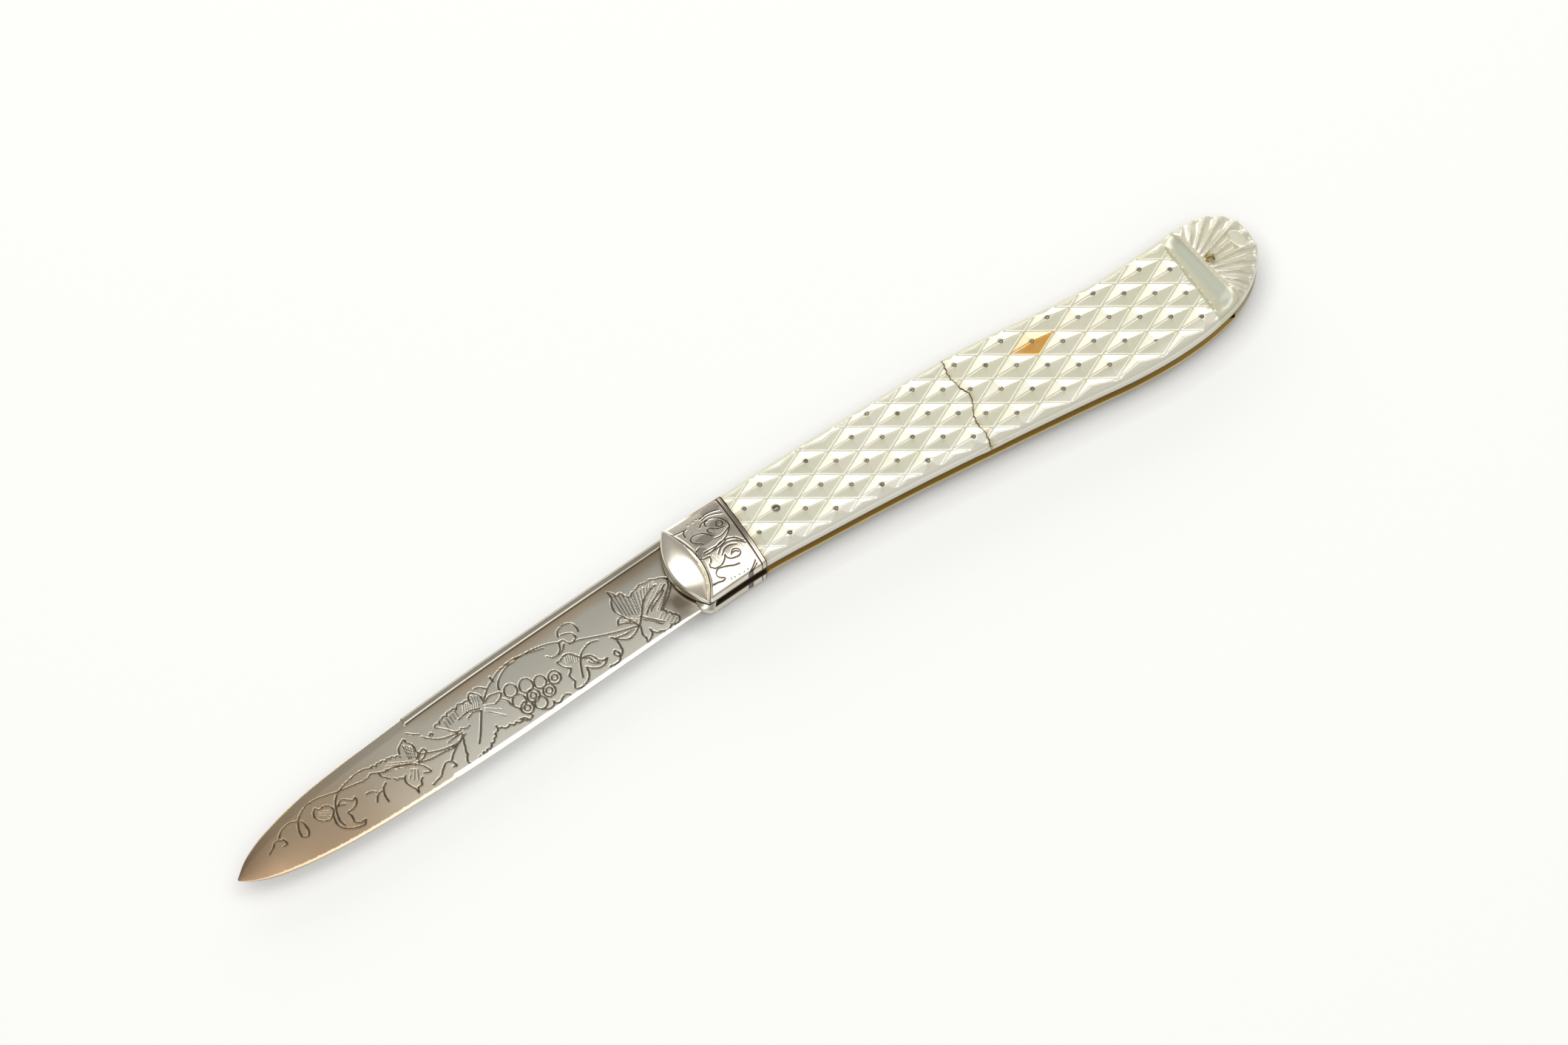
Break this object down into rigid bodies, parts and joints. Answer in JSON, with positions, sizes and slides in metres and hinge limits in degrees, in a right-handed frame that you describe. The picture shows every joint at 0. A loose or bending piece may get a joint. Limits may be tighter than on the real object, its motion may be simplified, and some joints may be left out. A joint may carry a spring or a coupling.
{
  "type": "folding fruit knife",
  "caption": "Slip-joint folding fruit knife, open, with an engraved silver blade and bolsters and carved, pinned mother-of-pearl scales.",
  "frame": {"origin": "middle of the knife's box, on the surface that its back scale rests on", "axes": "+X from the blade's tip to the handle's tail, +Y to the back of the knife, +Z out of its front face"},
  "size_m": [0.1574, 0.016, 0.0065],
  "materials": {
    "blade_silver": "engraved silver with a warm tarnish",
    "bolster_silver": "engraved, polished silver",
    "pin_silver": "worn silver wire",
    "steel": "dull steel",
    "liner_brass": "dark aged brass",
    "rivet_brass": "dark aged brass",
    "pearl": "carved and polished mother-of-pearl"
  },
  "bodies": {
    "handle": {"backspring": "steel", "liner_front": "liner_brass", "liner_back": "liner_brass", "bolster_front": "bolster_silver", "bolster_back": "bolster_silver", "scale_front_fore": "pearl", "scale_front_rear": "pearl", "scale_back": "pearl", "pivot_pin": "steel", "spring_rivet": "rivet_brass", "tail_rivet": "rivet_brass", "scale_rivet_front": "rivet_brass", "scale_rivet_back": "rivet_brass", "scale_pin_01": "pin_silver", "scale_pin_02": "pin_silver", "scale_pin_03": "pin_silver", "scale_pin_04": "pin_silver", "scale_pin_05": "pin_silver", "scale_pin_06": "pin_silver", "scale_pin_07": "pin_silver", "scale_pin_08": "pin_silver", "scale_pin_09": "pin_silver", "scale_pin_10": "pin_silver", "scale_pin_11": "pin_silver", "scale_pin_12": "pin_silver", "scale_pin_13": "pin_silver", "scale_pin_14": "pin_silver", "scale_pin_15": "pin_silver", "scale_pin_16": "pin_silver", "scale_pin_17": "pin_silver", "scale_pin_18": "pin_silver", "scale_pin_19": "pin_silver", "scale_pin_20": "pin_silver", "scale_pin_21": "pin_silver", "scale_pin_22": "pin_silver", "scale_pin_23": "pin_silver", "scale_pin_24": "pin_silver", "scale_pin_25": "pin_silver", "scale_pin_26": "pin_silver", "scale_pin_27": "pin_silver", "scale_pin_28": "pin_silver", "scale_pin_29": "pin_silver", "scale_pin_30": "pin_silver", "scale_pin_31": "pin_silver", "scale_pin_32": "pin_silver", "scale_pin_33": "pin_silver", "scale_pin_34": "pin_silver", "scale_pin_35": "pin_silver", "scale_pin_36": "pin_silver", "scale_pin_37": "pin_silver", "scale_pin_38": "pin_silver", "scale_pin_39": "pin_silver", "scale_pin_40": "pin_silver", "scale_pin_41": "pin_silver", "scale_pin_42": "pin_silver", "scale_pin_43": "pin_silver", "scale_pin_44": "pin_silver", "scale_pin_45": "pin_silver", "scale_pin_46": "pin_silver"},
    "blade": {"blade": "blade_silver"}
  },
  "joints": [
    {"name": "blade_pivot", "type": "hinge", "parent": "handle", "child": "blade", "pos_m": [-0.00441, 0.00068, 0.00325], "axis": [0, 0, 1], "range_deg": [0, 172]}
  ]
}
